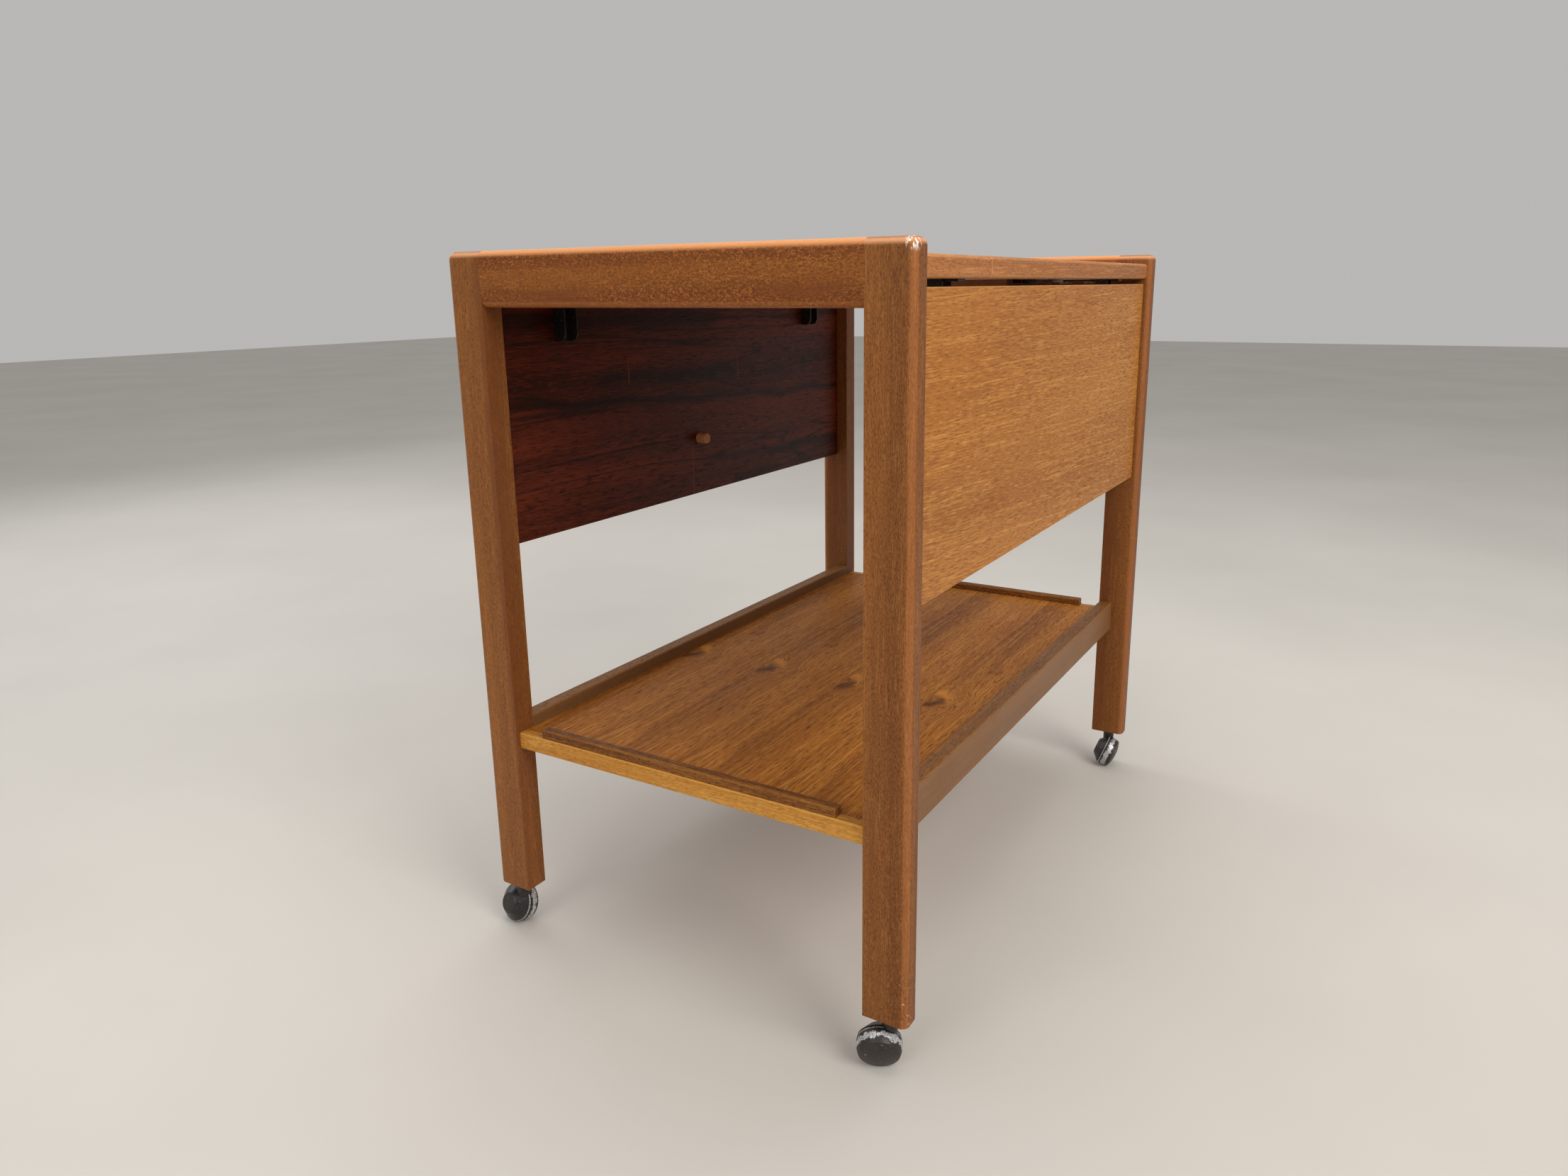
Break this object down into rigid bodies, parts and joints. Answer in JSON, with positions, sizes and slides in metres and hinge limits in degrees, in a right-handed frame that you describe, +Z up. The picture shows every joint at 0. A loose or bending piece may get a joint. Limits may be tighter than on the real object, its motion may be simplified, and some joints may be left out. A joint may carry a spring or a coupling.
{
  "type": "drop-leaf tea trolley",
  "caption": "Rolling tea trolley of teak with hinged drop leaves, pull-out leaf supports, a lower shelf with end strips and ball casters.",
  "frame": {"origin": "centre of the trolley on the floor plane that the casters stand on", "axes": "+X along the length of the trolley, towards its far end; +Y across it, towards its left long side; +Z up"},
  "size_m": [0.7554, 0.4883, 0.7],
  "materials": {
    "teak_solid": "oiled teak, satin",
    "teak_veneer": "oiled teak veneer, satin",
    "teak_edge": "lighter teak edging, satin",
    "teak_dark_strip": "dark teak strip, satin",
    "beech": "plain light hardwood",
    "steel_strip": "dull steel strip",
    "screw_steel": "dull steel",
    "black_steel": "black lacquered steel",
    "dark_steel": "darkened steel",
    "caster_enamel": "dark brown enamel, satin",
    "caster_tread": "worn bright metal tread"
  },
  "bodies": {
    "frame": {"caster_sockets": "dark_steel", "end_rail_far": "teak_solid", "end_rail_near": "teak_solid", "frame_dowels": "beech", "gallery_far": "teak_dark_strip", "gallery_near": "teak_dark_strip", "guide_screws": "screw_steel", "hinge_plate_far_left": "black_steel", "hinge_plate_far_right": "black_steel", "hinge_plate_near_left": "black_steel", "hinge_plate_near_right": "black_steel", "hinge_plate_screws": "screw_steel", "leg_far_left": "teak_solid", "leg_far_right": "teak_solid", "leg_near_left": "teak_solid", "leg_near_right": "teak_solid", "lower_rail_left": "teak_solid", "lower_rail_right": "teak_solid", "shelf_lipping_far": "teak_edge", "shelf_lipping_near": "teak_edge", "shelf_panel": "teak_veneer", "support_guide": "beech", "top_lipping_left": "teak_edge", "top_lipping_right": "teak_edge", "top_panel": "teak_veneer"},
    "leaf_right": {"leaf_panel_right": "teak_veneer", "leaf_hinge_edge_right": "teak_edge", "leaf_free_edge_right": "teak_edge", "leaf_peg_right": "beech", "hinge_pins_right": "screw_steel", "bracket_screws_right": "screw_steel", "hinge_bracket_near_right": "black_steel", "hinge_bracket_far_right": "black_steel"},
    "slide_right": {"support_slide_right": "steel_strip"},
    "leaf_left": {"leaf_panel_left": "teak_veneer", "leaf_hinge_edge_left": "teak_edge", "leaf_free_edge_left": "teak_edge", "leaf_peg_left": "beech", "hinge_pins_left": "screw_steel", "bracket_screws_left": "screw_steel", "hinge_bracket_near_left": "black_steel", "hinge_bracket_far_left": "black_steel"},
    "slide_left": {"support_slide_left": "steel_strip"},
    "caster_near_right": {"caster_hood_near_right": "caster_enamel", "caster_axle_near_right": "dark_steel"},
    "wheel_near_right": {"caster_wheel_near_right": "caster_tread", "caster_cap_near_right": "caster_enamel"},
    "caster_near_left": {"caster_hood_near_left": "caster_enamel", "caster_axle_near_left": "dark_steel"},
    "wheel_near_left": {"caster_wheel_near_left": "caster_tread", "caster_cap_near_left": "caster_enamel"},
    "caster_far_right": {"caster_hood_far_right": "caster_enamel", "caster_axle_far_right": "dark_steel"},
    "wheel_far_right": {"caster_wheel_far_right": "caster_tread", "caster_cap_far_right": "caster_enamel"},
    "caster_far_left": {"caster_hood_far_left": "caster_enamel", "caster_axle_far_left": "dark_steel"},
    "wheel_far_left": {"caster_wheel_far_left": "caster_tread", "caster_cap_far_left": "caster_enamel"}
  },
  "joints": [
    {"name": "leaf_right_fold", "type": "hinge", "parent": "frame", "child": "leaf_right", "pos_m": [0, -0.221, 0.67815], "axis": [-1, 0, 0], "range_deg": [0, 90]},
    {"name": "leaf_left_fold", "type": "hinge", "parent": "frame", "child": "leaf_left", "pos_m": [0, 0.221, 0.67815], "axis": [1, 0, 0], "range_deg": [0, 90]},
    {"name": "slide_right_pull", "type": "slide", "parent": "frame", "child": "slide_right", "axis": [0, -1, 0], "range_m": [0, 0.176]},
    {"name": "slide_left_pull", "type": "slide", "parent": "frame", "child": "slide_left", "axis": [0, 1, 0], "range_m": [0, 0.176]},
    {"name": "swivel_near_right", "type": "hinge", "parent": "frame", "child": "caster_near_right", "pos_m": [-0.352, -0.219, 0.049], "axis": [0, 0, 1], "continuous": true},
    {"name": "roll_near_right", "type": "hinge", "parent": "caster_near_right", "child": "wheel_near_right", "pos_m": [-0.35684, -0.21135, 0.0205], "axis": [-0.8446, -0.4119, -0.342], "continuous": true},
    {"name": "swivel_near_left", "type": "hinge", "parent": "frame", "child": "caster_near_left", "pos_m": [-0.352, 0.219, 0.049], "axis": [0, 0, 1], "continuous": true},
    {"name": "roll_near_left", "type": "hinge", "parent": "caster_near_left", "child": "wheel_near_left", "pos_m": [-0.34991, 0.22781, 0.0205], "axis": [0.9327, -0.1145, -0.342], "continuous": true},
    {"name": "swivel_far_right", "type": "hinge", "parent": "frame", "child": "caster_far_right", "pos_m": [0.352, -0.219, 0.049], "axis": [0, 0, 1], "continuous": true},
    {"name": "roll_far_right", "type": "hinge", "parent": "caster_far_right", "child": "wheel_far_right", "pos_m": [0.34307, -0.22047, 0.0205], "axis": [0.0492, -0.9384, -0.342], "continuous": true},
    {"name": "swivel_far_left", "type": "hinge", "parent": "frame", "child": "caster_far_left", "pos_m": [0.352, 0.219, 0.049], "axis": [0, 0, 1], "continuous": true},
    {"name": "roll_far_left", "type": "hinge", "parent": "caster_far_left", "child": "wheel_far_left", "pos_m": [0.36053, 0.21595, 0.0205], "axis": [0.4119, 0.8446, -0.342], "continuous": true}
  ]
}
